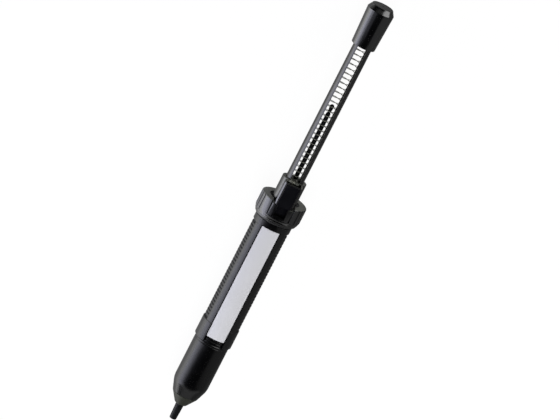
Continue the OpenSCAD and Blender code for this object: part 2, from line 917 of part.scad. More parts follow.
module stop_buffer() {
  color(RUBBER) lie()
    ring(stop_ring_r, tube_r + face_gap, buffer_z, barrel_top_z);
}

// ---- trigger ----

module trigger_button() {
  half_w = button_w / 2;
  front_depth = button_reach - web_reach - trigger_travel - 0.2;
  foot_root = 0.5;
  color(BLACK) lie()
    difference() {
      union() {
        // face and body; the long front edges are rounded
        translate([0, 0, button_z])
          linear_extrude(button_h)
            union() {
              translate([-half_w, -button_reach + button_round])
                square([button_w, button_reach - button_round - button_back]);
              translate([-half_w + button_round, -button_reach])
                square([button_w - 2 * button_round, button_round]);
              for (side = [-1, 1])
                translate([side * (half_w - button_round), -button_reach + button_round])
                  circle(r = button_round, $fn = 24);
            }
        // foot in the collar's window
        span(
          [-foot_w / 2, -foot_front, foot_z],
          [foot_w / 2, -foot_front + foot_t, button_z + foot_root]
        );
      }
      // upper back, cut away round the web
      span(
        [-half_w - over, -button_reach + front_depth, button_step_z],
        [half_w + over, 0, button_top_z + over]
      );
      // slot for the retaining pin
      span(
        [-half_w - over, -pin_y - pin_r - pin_slot_gap - trigger_travel, pin_z - pin_r - pin_slot_gap],
        [half_w + over, -pin_y + pin_r + pin_slot_gap, pin_z + pin_r + pin_slot_gap]
      );
      // pocket for the spring
      translate([0, -pocket_end, trigger_spring_z])
        rotate([-90, 0, 0])
          cylinder(r = pocket_r, h = pocket_end);
      // seat for the latch plate
      span(
        [-latch_w / 2 - fixed_fit, -latch_front - fixed_fit, latch_z - fixed_fit],
        [latch_w / 2 + fixed_fit, 0, latch_z + latch_t + fixed_fit]
      );
    }
}

module latch_plate() {
  hole_r = rod_r + latch_slack + slide_fit;
  hole_y = rod_r + latch_slack - hole_r;
  color(STEEL) lie()
    difference() {
      span([-latch_w / 2, -latch_front, latch_z], [latch_w / 2, latch_back, latch_z + latch_t]);
      translate([0, hole_y, latch_z - over])
        cylinder(r = hole_r, h = latch_t + 2 * over);
      translate([0, hole_y - trigger_travel - latch_slack, latch_z - over])
        cylinder(r = hole_r, h = latch_t + 2 * over);
      span(
        [-hole_r, hole_y - trigger_travel - latch_slack, latch_z - over],
        [hole_r, hole_y, latch_z + latch_t + over]
      );
    }
}

module trigger_spring() {
  color(STEEL) lie()
    translate([0, -pocket_floor - spring_gap, trigger_spring_z])
      rotate([90, 0, 0])
        wound(trigger_path, trigger_wire);
}

// ---- springs in line with the tool ----

module main_spring() {
  color(STEEL) lie()
    translate([0, 0, spring_low_z + spring_gap])
      wound(main_path, main_wire);
}

module return_spring() {
  color(STEEL) lie()
    translate([0, 0, neck_top_z + spring_gap])
      wound(return_path, return_wire);
}

// ---- loading tube and knob ----

module loading_tube() {
  end_z = knob_z + tube_in_knob;
  slot_top = knob_z + 0.5;
  color(BLACK) lie()
    difference() {
      ring(tube_r, tube_bore_r, tube_end_z, end_z);
      span([-slot_w / 2, -tube_r - over, slot_z], [slot_w / 2, tube_r + over, slot_top]);
    }
}

module stop_ring() {
  color(BRASS) lie()
    ring(stop_ring_r, tube_r + fixed_fit, stop_ring_z, stop_ring_top_z);
}

module knob() {
  low_r = knob_low_d / 2;
  bore_top = knob_z + tube_in_knob + 0.2;
  edge = 0.2;
  color(BLACK) lie()
    difference() {
      rotate_extrude()
        polygon(concat(
          [
            [0, knob_z],
            [low_r - edge, knob_z],
            [low_r, knob_z + edge]
          ],
          [
            [knob_r, top_z - knob_chamfer_h]
          ],
          quarter(
            [knob_r - knob_chamfer_w - knob_top_round / 2, top_z - knob_top_round],
            knob_top_round,
            knob_top_round,
            5
          ),
          [[0, top_z]]
        ));
      // socket for the tube, round the plug that carries the return spring
      ring(tube_r + fixed_fit, tube_bore_r - fixed_fit, knob_z - over, bore_top);
      translate([0, 0, knob_z - over])
        cylinder(r = tube_bore_r, h = knob_plug_z - knob_z + over);
      translate([0, 0, top_z - insert_t - 0.1])
        cylinder(r = insert_d / 2 + fixed_fit, h = insert_t + over);
    }
}

module knob_insert() {
  disc_z = top_z - insert_t - 0.1;
  color(BLACK) lie()
    ring(insert_d / 2, insert_hole_d / 2, disc_z, disc_z + insert_t);
}

// ---- piston ----

module piston() {
  body_r = bore_r - slide_fit;
  groove_r = body_r - piston_seal_t;
  groove_h = piston_seal_t + seal_slack;
  groove_z = piston_z + (piston_t - groove_h) / 2;
  spigot_wall = 1.2;
  spigot_r = main_spring_d / 2 * cos(180 / RINGS) - main_wire / 2 - face_gap;
  color(WHITE) lie()
    union() {
      rotate_extrude()
        polygon([
          [rod_hole_r, piston_z],
          [body_r, piston_z],
          [body_r, groove_z],
          [groove_r, groove_z],
          [groove_r, groove_z + groove_h],
          [body_r, groove_z + groove_h],
          [body_r, piston_top_z],
          [rod_hole_r, piston_top_z]
        ]);
      ring(spigot_r, spigot_r - spigot_wall, piston_z - spigot_h, piston_z + 0.1);
    }
}

module piston_seal() {
  color(RUBBER) lie()
    translate([0, 0, piston_z + piston_t / 2])
      rotate_extrude()
        translate([bore_r - slide_fit - piston_seal_t / 2, 0])
          circle(r = piston_seal_t / 2, $fn = 32);
}

module piston_rod() {
  dome = rod_r;
  groove_z = latch_z + stroke - 0.2;
  groove_r = rod_r - 0.4;
  color(STEEL) lie()
    rotate_extrude()
      polygon(concat(
        [
          [0, rod_low_z],
          [rod_r, rod_low_z],
          [rod_r, groove_z],
          [groove_r, groove_z],
          [groove_r, groove_z + latch_t + 0.4]
        ],
        quarter([0, rod_top_z - dome], rod_r, dome, 6)
      ));
}

module hex_nut(z) {
  translate([0, 0, z])
    difference() {
      cylinder(r = nut_af / 2 / cos(30), h = nut_t, $fn = 6);
      translate([0, 0, -over])
        cylinder(r = rod_hole_r, h = nut_t + 2 * over);
    }
}

module piston_nuts() {
  color(STEEL) lie() {
    hex_nut(nut_low_z);
    hex_nut(piston_top_z);
  }
}

module piston_washer() {
  color(STEEL) lie()
    ring(washer_d / 2, rod_hole_r, piston_z - washer_t, piston_z);
}

// ---- the nodes ----

nozzle();
nose_cone();
nose_seal();
barrel();
front_washer();
grip_sleeve();
label_plate();
collar_cap();
snap_ring();
neck_housing();
stop_buffer();
spring_bridge();
bridge_screw();
trigger_pin();
main_spring();
return_spring();
loading_tube();
stop_ring();
knob();
knob_insert();
piston();
piston_seal();
piston_rod();
piston_nuts();
piston_washer();
trigger_button();
latch_plate();
trigger_spring();
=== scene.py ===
# Looks for a spring-driven desoldering pump, built round its CAD frame.
# Sizes are in millimetres in the tool's own frame: z runs along the tool from the nozzle's mouth
# to the knob, and the front, with the label and the trigger, faces -y. LAY turns that frame into
# metres in the row frame, where the tool lies on its back with the nozzle towards -X.

import json
import math

import bmesh
import bpy
from mathutils import Matrix, Vector


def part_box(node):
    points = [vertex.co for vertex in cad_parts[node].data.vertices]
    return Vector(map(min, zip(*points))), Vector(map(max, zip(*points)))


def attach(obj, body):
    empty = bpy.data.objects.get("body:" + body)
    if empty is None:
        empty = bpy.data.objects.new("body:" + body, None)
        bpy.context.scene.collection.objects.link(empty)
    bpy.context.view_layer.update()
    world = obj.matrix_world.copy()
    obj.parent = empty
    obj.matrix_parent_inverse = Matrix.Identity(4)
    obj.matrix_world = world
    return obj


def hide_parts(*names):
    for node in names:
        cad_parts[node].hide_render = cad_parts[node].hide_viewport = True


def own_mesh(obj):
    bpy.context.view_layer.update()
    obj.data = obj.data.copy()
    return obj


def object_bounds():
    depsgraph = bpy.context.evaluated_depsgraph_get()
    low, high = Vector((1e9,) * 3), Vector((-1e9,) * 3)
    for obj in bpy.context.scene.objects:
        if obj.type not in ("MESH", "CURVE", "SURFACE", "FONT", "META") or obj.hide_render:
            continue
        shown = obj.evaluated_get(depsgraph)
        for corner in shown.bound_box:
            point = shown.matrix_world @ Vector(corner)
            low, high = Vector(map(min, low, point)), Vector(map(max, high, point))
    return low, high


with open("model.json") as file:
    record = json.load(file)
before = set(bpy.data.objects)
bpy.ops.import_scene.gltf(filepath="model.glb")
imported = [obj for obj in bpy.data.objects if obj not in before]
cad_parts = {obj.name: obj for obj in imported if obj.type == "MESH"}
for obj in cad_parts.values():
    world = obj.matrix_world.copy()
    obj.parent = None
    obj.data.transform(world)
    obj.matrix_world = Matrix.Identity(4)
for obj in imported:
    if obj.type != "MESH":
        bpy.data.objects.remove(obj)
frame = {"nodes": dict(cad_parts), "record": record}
cad_low, cad_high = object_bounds()

record = frame["record"]

# ---- sizes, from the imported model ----

MM = 0.001
LENGTH = (cad_high[0] - cad_low[0]) / MM
REST_H = record["mounts"][0]["pos_m"][2] / MM  # height of the tool's axis over the bench
BODY = {node: body for body, nodes in record["behaviour"]["bodies"].items() for node in nodes}

LAY = Matrix.Scale(MM, 4) @ Matrix(
    (
        (0, 0, 1, -LENGTH / 2),
        (-1, 0, 0, 0),
        (0, -1, 0, REST_H),
        (0, 0, 0, 1),
    )
)
LAY_TURN = Matrix(((0, 0, 1), (-1, 0, 0), (0, -1, 0)))


def lay(x, y, z):
    """A point of the tool's frame, in the row frame."""
    return LAY @ Vector((x, y, z))


# ---- camera ----

VIEW_SIDE = math.radians(-6.5)  # the camera stands a little to the left of the front
VIEW_RISE = math.radians(16.5)  # and looks down on the knob's end
VIEW_LEAN = math.radians(27.1)  # the tool leans to the right as it is seen
VIEW_WIDTH = 388.6  # the width that it takes in, at the tool
VIEW_DISTANCE = 3000.0
VIEW_CENTRE = (0.58, 172.3)  # right of the tool's axis, and along it
SENSOR = 36.0
NEAREST_M = 0.01
FURTHEST_M = 50.0

back = Vector(
    (
        math.sin(VIEW_SIDE) * math.cos(VIEW_RISE),
        -math.cos(VIEW_SIDE) * math.cos(VIEW_RISE),
        math.sin(VIEW_RISE),
    )
)
along = (Vector((0, 0, 1)) - back * back.z).normalized()
across = along.cross(back)
up = along * math.cos(VIEW_LEAN) - across * math.sin(VIEW_LEAN)
right = up.cross(back)
eye = Vector((0, 0, VIEW_CENTRE[1])) + across * VIEW_CENTRE[0] + back * VIEW_DISTANCE

camera = bpy.data.objects.new("camera", bpy.data.cameras.new("camera"))
bpy.context.scene.collection.objects.link(camera)
camera.data.sensor_width = SENSOR
camera.data.lens = SENSOR * VIEW_DISTANCE / VIEW_WIDTH
camera.data.clip_start = NEAREST_M
camera.data.clip_end = FURTHEST_M
camera.matrix_world = Matrix.Translation(LAY @ eye) @ (
    Matrix((LAY_TURN @ right, LAY_TURN @ up, LAY_TURN @ back)).transposed().to_4x4()
)
bpy.context.scene.camera = camera

# ---- materials ----

MIDDLE = {"From Min": 0.3, "From Max": 0.7}  # noise mostly keeps to this range

CLOUD = 14.0  # patches of gloss on moulded plastic
CLOUD_DULL, CLOUD_SHINE = 0.045, 0.035  # what they add to its roughness, and take from it

END_FACE = {"From Min": 0.8, "From Max": 0.95}  # how squarely a face looks at the knob's end
END_ROUGHNESS = 0.34
END_FROM_X = 4.0  # end faces are painted paler, as painted light, from here towards the knob
END_FADE = 4.0

UNDER_FACE = {"From Min": -0.75, "From Max": -0.45}  # and at the nozzle's end
UNDER_ROUGHNESS = 0.85

HOLLOW_ROUGHNESS = 0.8
HOLLOW_FADE = 0.35

DRAWN_LINE = 0.12  # across the lines on drawn steel
DRAWN_RUN = 6.0  # and along them
DRAWN_BAND = 5.0
DRAWN_DEPTH = 0.004
DRAWN_DULL, DRAWN_SHINE = 0.08, 0.06

BLOOM = 1.2
BLOOM_DEPTH = 0.02
RUBBER_ROUGHNESS = {"To Min": 0.62, "To Max": 0.78}

FLAKE = 0.35
FLAKE_DEPTH = 0.004
FLAKE_SHARE = 0.35  # of the label's change of shade; its slow sweep makes the rest
SWEEP = 40.0
FILM_ROUGHNESS = {"To Min": 0.46, "To Max": 0.58}


def linear(code):
    """Linear colour of an sRGB hex value, by the sRGB standard's own curve."""
    parts = [int(code[i : i + 2], 16) / 255 for i in (1, 3, 5)]
    return [p / 12.92 if p <= 0.04045 else ((p + 0.055) / 1.055) ** 2.4 for p in parts] + [1.0]


def add(tree, kind, inputs=None, **settings):
    """Adds a node, sets it up, and links or fills its inputs."""
    made = tree.nodes.new(kind)
    for name, value in settings.items():
        setattr(made, name, value)
    for name, value in (inputs or {}).items():
        if isinstance(value, bpy.types.NodeSocket):
            tree.links.new(value, made.inputs[name])
        else:
            made.inputs[name].default_value = value
    return made


def blank(name):
    """A material with an empty tree, and Object coordinates centred on the tool's axis."""
    made = bpy.data.materials.new(name)
    made.use_nodes = True
    tree = made.node_tree
    tree.nodes.clear()
    where = add(tree, "ShaderNodeTexCoord").outputs["Object"]
    centred = add(
        tree, "ShaderNodeMapping", {"Vector": where, "Location": (0, 0, -REST_H * MM)}
    ).outputs[0]
    return made, tree, centred


def close(made, tree, colour, roughness, height, depth, **sockets):
    """Ends a material in one Principled shader, with the height as bump of the given depth."""
    shader = add(
        tree,
        "ShaderNodeBsdfPrincipled",
        {"Base Color": colour, "Roughness": roughness, **sockets},
    )
    bump = add(tree, "ShaderNodeBump", {"Height": height, "Distance": depth * MM})
    tree.links.new(bump.outputs["Normal"], shader.inputs["Normal"])
    add(tree, "ShaderNodeOutputMaterial", {"Surface": shader.outputs[0]})
    return made


def finish_and_light_ends(tree, where, colour, roughness, lit_end_colour):
    """The colour and roughness of a moulding whose faces towards the knob's end are duller, and
    painted paler as painted light, as if lit from that end. Those towards the nozzle are
    unpolished."""
    normal = add(tree, "ShaderNodeTexCoord").outputs["Normal"]
    square = add(tree, "ShaderNodeSeparateXYZ", {"Vector": normal}).outputs["X"]
    along_x = add(tree, "ShaderNodeSeparateXYZ", {"Vector": where}).outputs["X"]
    past = add(
        tree,
        "ShaderNodeMapRange",
        {
            "Value": along_x,
            "From Min": END_FROM_X * MM,
            "From Max": (END_FROM_X + END_FADE) * MM,
        },
    ).outputs["Result"]
    facing = add(tree, "ShaderNodeMapRange", {"Value": square, **END_FACE}).outputs["Result"]
    end = add(tree, "ShaderNodeMath", {0: facing, 1: past}, operation="MULTIPLY").outputs[0]
    # painted light: faces towards the knob's end are painted paler, as if lit from there
    colour = add(
        tree,
        "ShaderNodeMix",
        {"Factor": end, "A": colour, "B": linear(lit_end_colour)},
        data_type="RGBA",
    ).outputs["Result"]
    roughness = add(
        tree,
        "ShaderNodeMix",
        {"Factor": end, "A": roughness, "B": END_ROUGHNESS},
        data_type="FLOAT",
    ).outputs["Result"]
    under = add(
        tree,
        "ShaderNodeMapRange",
        {"Value": square, **UNDER_FACE, "To Min": 1.0, "To Max": 0.0},
    ).outputs["Result"]
    roughness = add(
        tree,
        "ShaderNodeMix",
        {"Factor": under, "A": roughness, "B": UNDER_ROUGHNESS},
        data_type="FLOAT",
    ).outputs["Result"]
    return colour, roughness


def finish_hollows(tree, where, roughness, hollow_r):
    """The roughness of a moulding that is unpolished nearer to the tool's axis than a radius, so
    that the hollows between its ribs look darker than the ribs."""
    section = add(tree, "ShaderNodeMapping", {"Vector": where, "Scale": (0, 1, 1)}).outputs[0]
    radius = add(
        tree, "ShaderNodeVectorMath", {"Vector": section}, operation="LENGTH"
    ).outputs["Value"]
    deep = add(
        tree,
        "ShaderNodeMapRange",
        {
            "Value": radius,
            "From Min": (hollow_r - HOLLOW_FADE) * MM,
            "From Max": hollow_r * MM,
            "To Min": 1.0,
            "To Max": 0.0,
        },
    ).outputs["Result"]
    return add(
        tree,
        "ShaderNodeMix",
        {"Factor": deep, "A": roughness, "B": HOLLOW_ROUGHNESS},
        data_type="FLOAT",
    ).outputs["Result"]


def moulded(name, dark, light, gloss, grain, depth, ior=1.53, lit_end_colour=None, hollow_r=None):
    """Injection-moulded plastic: a fine spark-eroded skin of the given grain and depth, with faint
    cloudy patches of gloss. With a lit end colour, its faces towards the knob's end are duller and
    painted paler, as painted light; with a hollow radius, its hollows are rougher."""
    made, tree, where = blank(name)
    clouds = add(
        tree, "ShaderNodeTexNoise", {"Vector": where, "Scale": 1 / (CLOUD * MM), "Detail": 3.0}
    ).outputs["Fac"]
    skin = add(
        tree, "ShaderNodeTexNoise", {"Vector": where, "Scale": 1 / (grain * MM), "Detail": 2.0}
    ).outputs["Fac"]
    share = add(tree, "ShaderNodeMapRange", {"Value": clouds, **MIDDLE}).outputs["Result"]
    colour = add(
        tree,
        "ShaderNodeMix",
        {"Factor": share, "A": linear(dark), "B": linear(light)},
        data_type="RGBA",
    ).outputs["Result"]
    roughness = add(
        tree,
        "ShaderNodeMapRange",
        {"Value": clouds, **MIDDLE, "To Min": gloss - CLOUD_SHINE, "To Max": gloss + CLOUD_DULL},
    ).outputs["Result"]
    if lit_end_colour:
        colour, roughness = finish_and_light_ends(tree, where, colour, roughness, lit_end_colour)
    if hollow_r:
        roughness = finish_hollows(tree, where, roughness, hollow_r)
    return close(made, tree, colour, roughness, skin, depth, IOR=ior)


def drawn_steel(name, dark, light, gloss, metal=1.0):
    """Drawn or turned metal: fine lines that run along the tool, and slight bands of shade. Real
    lines are a few hundredths of a millimetre apart; these are coarser, so that they show."""
    made, tree, where = blank(name)
    stretched = add(
        tree, "ShaderNodeMapping", {"Vector": where, "Scale": (DRAWN_LINE / DRAWN_RUN, 1.0, 1.0)}
    ).outputs[0]
    lines = add(
        tree,
        "ShaderNodeTexNoise",
        {"Vector": stretched, "Scale": 1 / (DRAWN_LINE * MM), "Detail": 1.0},
    ).outputs["Fac"]
    bands = add(
        tree, "ShaderNodeTexNoise", {"Vector": where, "Scale": 1 / (DRAWN_BAND * MM), "Detail": 2.0}
    ).outputs["Fac"]
    share = add(tree, "ShaderNodeMapRange", {"Value": bands, **MIDDLE}).outputs["Result"]
    colour = add(
        tree,
        "ShaderNodeMix",
        {"Factor": share, "A": linear(dark), "B": linear(light)},
        data_type="RGBA",
    ).outputs["Result"]
    roughness = add(
        tree,
        "ShaderNodeMapRange",
        {"Value": lines, **MIDDLE, "To Min": gloss - DRAWN_SHINE, "To Max": gloss + DRAWN_DULL},
    ).outputs["Result"]
    return close(made, tree, colour, roughness, lines, DRAWN_DEPTH, Metallic=metal)


def rubber(name, dark, light):
    """Moulded rubber: dull, with a fine dusty bloom."""
    made, tree, where = blank(name)
    bloom = add(
        tree, "ShaderNodeTexNoise", {"Vector": where, "Scale": 1 / (BLOOM * MM), "Detail": 4.0}
    ).outputs["Fac"]
    share = add(tree, "ShaderNodeMapRange", {"Value": bloom, **MIDDLE}).outputs["Result"]
    colour = add(
        tree,
        "ShaderNodeMix",
        {"Factor": share, "A": linear(dark), "B": linear(light)},
        data_type="RGBA",
    ).outputs["Result"]
    roughness = add(
        tree, "ShaderNodeMapRange", {"Value": bloom, **MIDDLE, **RUBBER_ROUGHNESS}
    ).outputs["Result"]
    return close(made, tree, colour, roughness, bloom, BLOOM_DEPTH, IOR=1.52)


def printed_film(name, dark, light):
    """Silver-printed plastic film: pale satin, with metal flake too fine to see one by one, under
    a slow sweep of shade. The flake is drawn at 0.35 mm so that it shows at all."""
    made, tree, where = blank(name)
    flake = add(
        tree, "ShaderNodeTexNoise", {"Vector": where, "Scale": 1 / (FLAKE * MM), "Detail": 1.0}
    ).outputs["Fac"]
    sweep = add(
        tree, "ShaderNodeTexNoise", {"Vector": where, "Scale": 1 / (SWEEP * MM), "Detail": 1.0}
    ).outputs["Fac"]
    speckle = add(
        tree, "ShaderNodeMapRange", {"Value": flake, **MIDDLE, "To Max": FLAKE_SHARE}
    ).outputs["Result"]
    slow = add(
        tree, "ShaderNodeMapRange", {"Value": sweep, **MIDDLE, "To Max": 1 - FLAKE_SHARE}
    ).outputs["Result"]
    share = add(tree, "ShaderNodeMath", {0: speckle, 1: slow}, operation="ADD").outputs[0]
    colour = add(
        tree,
        "ShaderNodeMix",
        {"Factor": share, "A": linear(dark), "B": linear(light)},
        data_type="RGBA",
    ).outputs["Result"]
    roughness = add(
        tree, "ShaderNodeMapRange", {"Value": flake, **MIDDLE, **FILM_ROUGHNESS}
    ).outputs["Result"]
    return close(made, tree, colour, roughness, flake, FLAKE_DEPTH, Metallic=0.0, IOR=1.5)


# Moulded in a gloss-finished tool: deep black, with one clear, soft-edged streak of light.
BARREL_ABS = moulded("gloss-moulded ABS", "#020203", "#040405", 0.27, 0.5, 0.004)
# Moulded with a fine spark texture: black ribs with a satin light, over dark hollows.
GRIP_ABS = moulded("fine-textured ABS", "#040405", "#070708", 0.27, 0.3, 0.005, hollow_r=13.3)
# Moulded in a polished tool: bright streaks on its flutes, and faces towards the knob's end painted
# grey as painted light.
COLLAR_ABS = moulded(
    "high-gloss ABS", "#040405", "#070708", 0.2, 0.5, 0.003, ior=1.9, lit_end_colour="#5a5c55"
)
# Worn by handling: a soft brown-black without a clear streak, and painted paler at its end as
# painted light.
BRIDGE_ABS = moulded(
    "worn matt ABS", "#141412", "#22221f", 0.4, 0.4, 0.006, ior=1.6, lit_end_colour="#6a6c64"
)
# Moulded and wiped clean: a waxy black with an even, narrow streak.
TUBE_ACETAL = moulded("black acetal", "#060608", "#0a0a0c", 0.22, 0.8, 0.004, ior=1.68)
# Moulded satin, and rubbed bright by the palm: black, with one bright, soft-edged streak.
KNOB_ABS = moulded("satin-moulded ABS", "#040405", "#070708", 0.2, 0.4, 0.003, ior=1.85)
# Moulded matt for the thumb: a blue-black that stays even all over.
TRIGGER_ABS = moulded("matt-moulded ABS", "#07070b", "#0b0b10", 0.34, 0.4, 0.004, ior=1.6)
# Its fibres show at the skin: a dull green-black, lighter than the barrel.
NOSE_NYLON = moulded("glass-filled nylon", "#262820", "#2e3028", 0.40, 0.25, 0.012)
# Pressed from filled powder: a flat dark grey with almost no shine.
NOZZLE_PTFE = moulded("graphite-filled PTFE", "#08090a", "#0e0f10", 0.5, 0.2, 0.016, ior=1.38)
# Moulded and left natural: a warm white with a waxy light.
PISTON_ACETAL = moulded("white acetal", "#dcd9cf", "#e8e5dc", 0.36, 0.6, 0.006, ior=1.48)
# Plated after coiling: a dull yellow-grey that hardly mirrors.
SPRING_WIRE = drawn_steel("zinc-plated music wire", "#85867c", "#9a9b90", 0.36, metal=0.4)
# Drawn and oiled: a darker steel grey with a fine sheen.
MAIN_WIRE = drawn_steel("oiled music wire", "#6d6f71", "#808285", 0.30)
# Chemically blackened: near black, with a faint light along it.
BLACK_ROD = drawn_steel("blackened steel rod", "#161618", "#1f1f21", 0.42, metal=0.2)
# Passivated after plating: a dull straw grey.
SCREW_STEEL = drawn_steel("yellow-grey passivated zinc", "#7c7d72", "#96978b", 0.42, metal=0.4)
# Plated bright: pale, cool and fairly shiny.
ZINC = drawn_steel("bright zinc plate", "#a9acb0", "#bdc0c4", 0.26)
# Rolled and polished: the brightest metal on the tool.
RING_STEEL = drawn_steel("spring steel, bright", "#c4c6c9", "#d6d8da", 0.18)
# Turned on a lathe: a warm yellow with fine lines.
BRASS = drawn_steel("turned brass", "#a98c4c", "#bd9f5c", 0.28)
# Moulded, and dusted against sticking: a soft charcoal grey.
SEAL_RUBBER = rubber("nitrile rubber", "#1b1b1b", "#262625")
# Printed all over in silver, and bare of words: a pale satin grey.
LABEL_FILM = printed_film("silver polyester film", "#d4d4d8", "#e1e1e5")

FINISH = {
    "nozzle": NOZZLE_PTFE,
    "nose_cone": NOSE_NYLON,
    "nose_seal": SEAL_RUBBER,
    "barrel": BARREL_ABS,
    "front_washer": ZINC,
    "grip_sleeve": GRIP_ABS,
    "label_plate": LABEL_FILM,
    "collar_cap": COLLAR_ABS,
    "snap_ring": RING_STEEL,
    "neck_housing": COLLAR_ABS,
    "stop_buffer": SEAL_RUBBER,
    "spring_bridge": BRIDGE_ABS,
    "bridge_screw": SCREW_STEEL,
    "trigger_pin": ZINC,
    "main_spring": MAIN_WIRE,
    "return_spring": SPRING_WIRE,
    "trigger_spring": SPRING_WIRE,
    "loading_tube": TUBE_ACETAL,
    "stop_ring": BRASS,
    "knob": KNOB_ABS,
    "knob_insert": KNOB_ABS,
    "piston": PISTON_ACETAL,
    "piston_seal": SEAL_RUBBER,
    "piston_rod": BLACK_ROD,
    "piston_nuts": ZINC,
    "piston_washer": ZINC,
    "trigger_button": TRIGGER_ABS,
    "latch_plate": ZINC,
}
for name, finish in FINISH.items():
    data = frame["nodes"][name].data
    data.materials.clear()
    data.materials.append(finish)

# ---- mesh helpers ----

JOIN_M = 1e-7
FLAT = math.radians(0.4)  # triangles that meet flatter than this are one face
END_ON = 0.999  # how squarely a face looks along the tool before it counts as an end ring
CORNER = math.radians(30)  # edges sharper than this are eased


def place(mesh, name):
    """An object at the origin for a mesh that is already in the row frame."""
    made = bpy.data.objects.new(name, mesh)
    bpy.context.scene.collection.objects.link(made)
    return made


def settle(source, name, sharp=None):
    """The evaluated mesh of an object as a plain object. With a sharp angle, it is shaded smooth
    up to that angle; without one, it keeps the normals that it has."""
    bpy.context.view_layer.update()
    evaluated = source.evaluated_get(bpy.context.evaluated_depsgraph_get())
    mesh = bpy.data.meshes.new_from_object(evaluated)
    bpy.data.objects.remove(source)
    mesh.name = name
    if sharp is not None:
        mesh.shade_smooth()
        mesh.set_sharp_from_angle(angle=sharp)
    return place(mesh, name)


def stand_in(piece, node):
    """The piece takes the place, body and finish of a node."""
    piece.data.materials.clear()
    piece.data.materials.append(FINISH[node])
    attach(piece, BODY[node])
    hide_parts(node)
    return piece


def eased(node, width):
    """A copy of a node with its sharp edges eased. Its flat triangles are merged first, apart
    from those of the rings that face the tool's ends, as one face can't have a hole in it."""
    mesh = frame["nodes"][node].data.copy()
    work = bmesh.new()
    work.from_mesh(mesh)
    bmesh.ops.remove_doubles(work, verts=work.verts, dist=JOIN_M)
    work.normal_update()
    aside = [
        edge
        for edge in work.edges
        if all(abs(face.normal.x) < END_ON for face in edge.link_faces)
    ]
    bmesh.ops.dissolve_limit(work, angle_limit=FLAT, verts=[], edges=aside)
    work.to_mesh(mesh)
    work.free()
    mesh.shade_smooth()
    mesh.set_sharp_from_angle(angle=CORNER)
    piece = place(mesh, node + "_body")
    ease = piece.modifiers.new("ease", "BEVEL")
    ease.width = width * MM
    ease.segments = 2
    ease.harden_normals = True
    ease.limit_method = "ANGLE"
    ease.angle_limit = CORNER
    return stand_in(settle(piece, node + "_body"), node)


# ---- wound springs ----

END_PITCH = 1.06  # of the close-wound end turns, in wire thicknesses
WIRE_CORNER = math.radians(60)  # a wire is smooth round its skin and sharp at its cut ends


def sweep_tree():
    """Geometry nodes: a round wire swept along the given curve."""
    tree = bpy.data.node_groups.new("wire along a curve", "GeometryNodeTree")
    face = tree.interface
    face.new_socket("Geometry", in_out="INPUT", socket_type="NodeSocketGeometry")
    for title, kind in (("Wire radius", "Float"), ("Sides", "Int"), ("Finish", "Material")):
        face.new_socket(title, in_out="INPUT", socket_type="NodeSocket" + kind)
    face.new_socket("Geometry", in_out="OUTPUT", socket_type="NodeSocketGeometry")
    given = add(tree, "NodeGroupInput")
    section = add(
        tree,
        "GeometryNodeCurvePrimitiveCircle",
        {"Radius": given.outputs["Wire radius"], "Resolution": given.outputs["Sides"]},
    )
    swept = add(
        tree,
        "GeometryNodeCurveToMesh",
        {
            "Curve": given.outputs["Geometry"],
            "Profile Curve": section.outputs["Curve"],
            "Fill Caps": True,
        },
    )
    real = add(tree, "GeometryNodeRealizeInstances", {"Geometry": swept.outputs["Mesh"]})
    coated = add(
        tree,
        "GeometryNodeSetMaterial",
        {"Geometry": real.outputs["Geometry"], "Material": given.outputs["Finish"]},
    )
    add(tree, "NodeGroupOutput", {"Geometry": coated.outputs["Geometry"]})
    return tree


def grow(source, tree, values):
    """Puts a geometry-nodes tree on an object, and fills the inputs that have these names."""
    modifier = source.modifiers.new(tree.name, "NODES")
    modifier.node_group = tree
    for item in tree.interface.items_tree:
        if item.in_out == "INPUT" and item.name in values:
            modifier[item.identifier] = values[item.name]


SWEEP_TREE = sweep_tree()


def coil_points(radius, length, pitch, wire, end_turns, per_turn):
    """Points of a spring with close-wound ends, from z = 0 to length, starting at the front."""
    close_pitch = wire * END_PITCH
    rise = length - wire - 2 * end_turns * close_pitch
    turns = end_turns * 2 + rise / pitch
    count = int(turns * per_turn)
    points = []
    for i in range(count + 1):
        turn = turns * i / count
        if turn < end_turns:
            z = turn * close_pitch
        elif turn > turns - end_turns:
            z = length - wire - (turns - turn) * close_pitch
        else:
            z = end_turns * close_pitch + (turn - end_turns) * pitch
        angle = math.radians(-90) + math.tau * turn
        points.append((radius * math.cos(angle), radius * math.sin(angle), wire / 2 + z))
    return points


def wound(node, points, wire, sides):
    """A spring swept along points in the tool's frame; it replaces the node's plain coil."""
    curve = bpy.data.curves.new(node + "_path", "CURVE")
    curve.dimensions = "3D"
    line = curve.splines.new("POLY")
    line.points.add(len(points) - 1)
    for spot, point in zip(line.points, points):
        spot.co = lay(*point).to_4d()
    source = bpy.data.objects.new(node + "_path", curve)
    bpy.context.scene.collection.objects.link(source)
    values = {"Wire radius": wire / 2 * MM, "Sides": sides, "Finish": FINISH[node]}
    grow(source, SWEEP_TREE, values)
    return stand_in(settle(source, node + "_wire", sharp=WIRE_CORNER), node)


def wound_along(node, mean_r, wire, pitch, end_turns, sides):
    """A spring in line with the tool, between the ends of its CAD solid."""
    low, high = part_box(node)
    low_z = low.x / MM + LENGTH / 2
    length = (high.x - low.x) / MM
    coil = coil_points(mean_r, length, pitch, wire, end_turns, per_turn=30)
    piece = wound(node, [(x, y, low_z + z) for x, y, z in coil], wire, sides)
    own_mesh(piece)


def wound_across(node, mean_r, wire, pitch, end_turns, sides):
    """A spring that stands square to the tool, between the ends of its CAD solid."""
    low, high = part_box(node)
    mid_z = (low.x + high.x) / 2 / MM + LENGTH / 2
    front = low.z / MM - REST_H
    length = (high.z - low.z) / MM
    coil = coil_points(mean_r, length, pitch, wire, end_turns, per_turn=24)
    piece = wound(node, [(x, -front - z, mid_z + y) for x, y, z in coil], wire, sides)
    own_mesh(piece)
